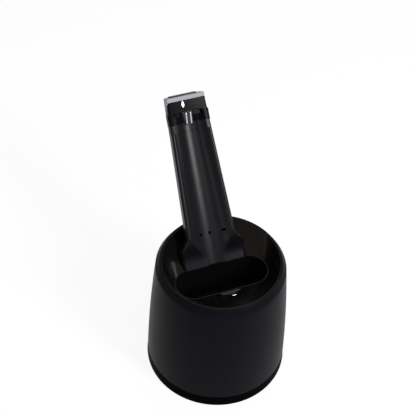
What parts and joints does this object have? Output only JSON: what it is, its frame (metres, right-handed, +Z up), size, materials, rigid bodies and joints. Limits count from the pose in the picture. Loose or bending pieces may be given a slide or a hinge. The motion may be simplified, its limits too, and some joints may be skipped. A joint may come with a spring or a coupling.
{
  "type": "shaver cleaning station",
  "caption": "Round cleaning station with a glossy bowl, a leaning channelled tower with charging contacts under a hood, and a cartridge that slides out of the back.",
  "frame": {"origin": "centre of the base's underside, on the table", "axes": "+Z up; -Y is the front, where the bowl and the tower's channel face; the tower leans back towards +Y and the cartridge slides out along +Y"},
  "size_m": [0.12, 0.1678, 0.2201],
  "materials": {
    "gloss_black": "gloss",
    "matte_black": "fine matt grain",
    "tower_black": "satin",
    "silver": "satin silver paint",
    "pad_rubber": "matt",
    "steel": "polished",
    "spring_steel": "bright",
    "screw_steel": "zinc plated",
    "seal_rubber": "satin",
    "inner_grey": "satin",
    "board_green": "solder mask",
    "cable_grey": "satin",
    "lens_white": "frosted",
    "contact_metal": "polished",
    "pump_white": "satin",
    "hose_grey": "translucent satin",
    "cartridge_blue": "satin",
    "cartridge_lid": "satin",
    "filter_cream": "fibrous"
  },
  "bodies": {
    "base": {"base_tray": "gloss_black", "base_pad": "pad_rubber", "guide_rods": "steel", "lift_springs": "spring_steel", "rod_screws": "screw_steel"},
    "housing": {"housing_shell": "matte_black", "bay_guides": "matte_black", "bowl": "gloss_black", "bowl_seal": "seal_rubber", "sensor_window": "gloss_black", "sensor_bars": "contact_metal", "chassis": "inner_grey", "chassis_screws": "screw_steel", "tower_front": "tower_black", "tower_back": "gloss_black", "tower_screws": "screw_steel", "tower_cable": "cable_grey", "head_shell": "gloss_black", "head_cap": "silver", "head_board": "board_green", "status_lens": "lens_white", "contact_plug": "gloss_black", "pump_body": "pump_white", "pump_cover": "pump_white", "pump_motor": "steel", "nozzle_seal": "seal_rubber", "drain_seal": "seal_rubber", "delivery_hose": "hose_grey", "main_board": "board_green", "power_inlet": "gloss_black", "inlet_pins": "contact_metal"},
    "left_contact": {"contact_left": "contact_metal"},
    "right_contact": {"contact_right": "contact_metal"},
    "start_key": {"start_button": "gloss_black"},
    "pump_rotor": {"pump_shaft": "steel", "pump_impeller": "pump_white"},
    "latch": {"lift_button": "gloss_black", "latch_ring": "steel"},
    "cartridge": {"cartridge_tub": "cartridge_blue", "cartridge_deck": "cartridge_lid", "cartridge_filter": "filter_cream", "cartridge_riser": "pump_white"}
  },
  "joints": [
    {"name": "housing_lift", "type": "slide", "parent": "base", "child": "housing", "axis": [0, 0, 1], "range_m": [0, 0.026], "deforming": ["lift_springs"]},
    {"name": "cartridge_slide", "type": "slide", "parent": "base", "child": "cartridge", "axis": [0, 1, 0], "range_m": [0, 0.095]},
    {"name": "start_press", "type": "slide", "parent": "housing", "child": "start_key", "axis": [0, -0.6157, -0.788], "range_m": [0, 0.0012], "stiffness_N_per_m": 700},
    {"name": "lift_press", "type": "slide", "parent": "housing", "child": "latch", "axis": [0, -1, 0], "range_m": [0, 0.003], "stiffness_N_per_m": 600},
    {"name": "contact_left_press", "type": "slide", "parent": "housing", "child": "left_contact", "axis": [0, 0.788, -0.6157], "range_m": [0, 0.0008], "stiffness_N_per_m": 600},
    {"name": "contact_right_press", "type": "slide", "parent": "housing", "child": "right_contact", "axis": [0, 0.788, -0.6157], "range_m": [0, 0.0008], "stiffness_N_per_m": 600},
    {"name": "pump_spin", "type": "hinge", "parent": "housing", "child": "pump_rotor", "pos_m": [0, 0.034, 0.07], "axis": [0, 0, 1], "continuous": true}
  ]
}
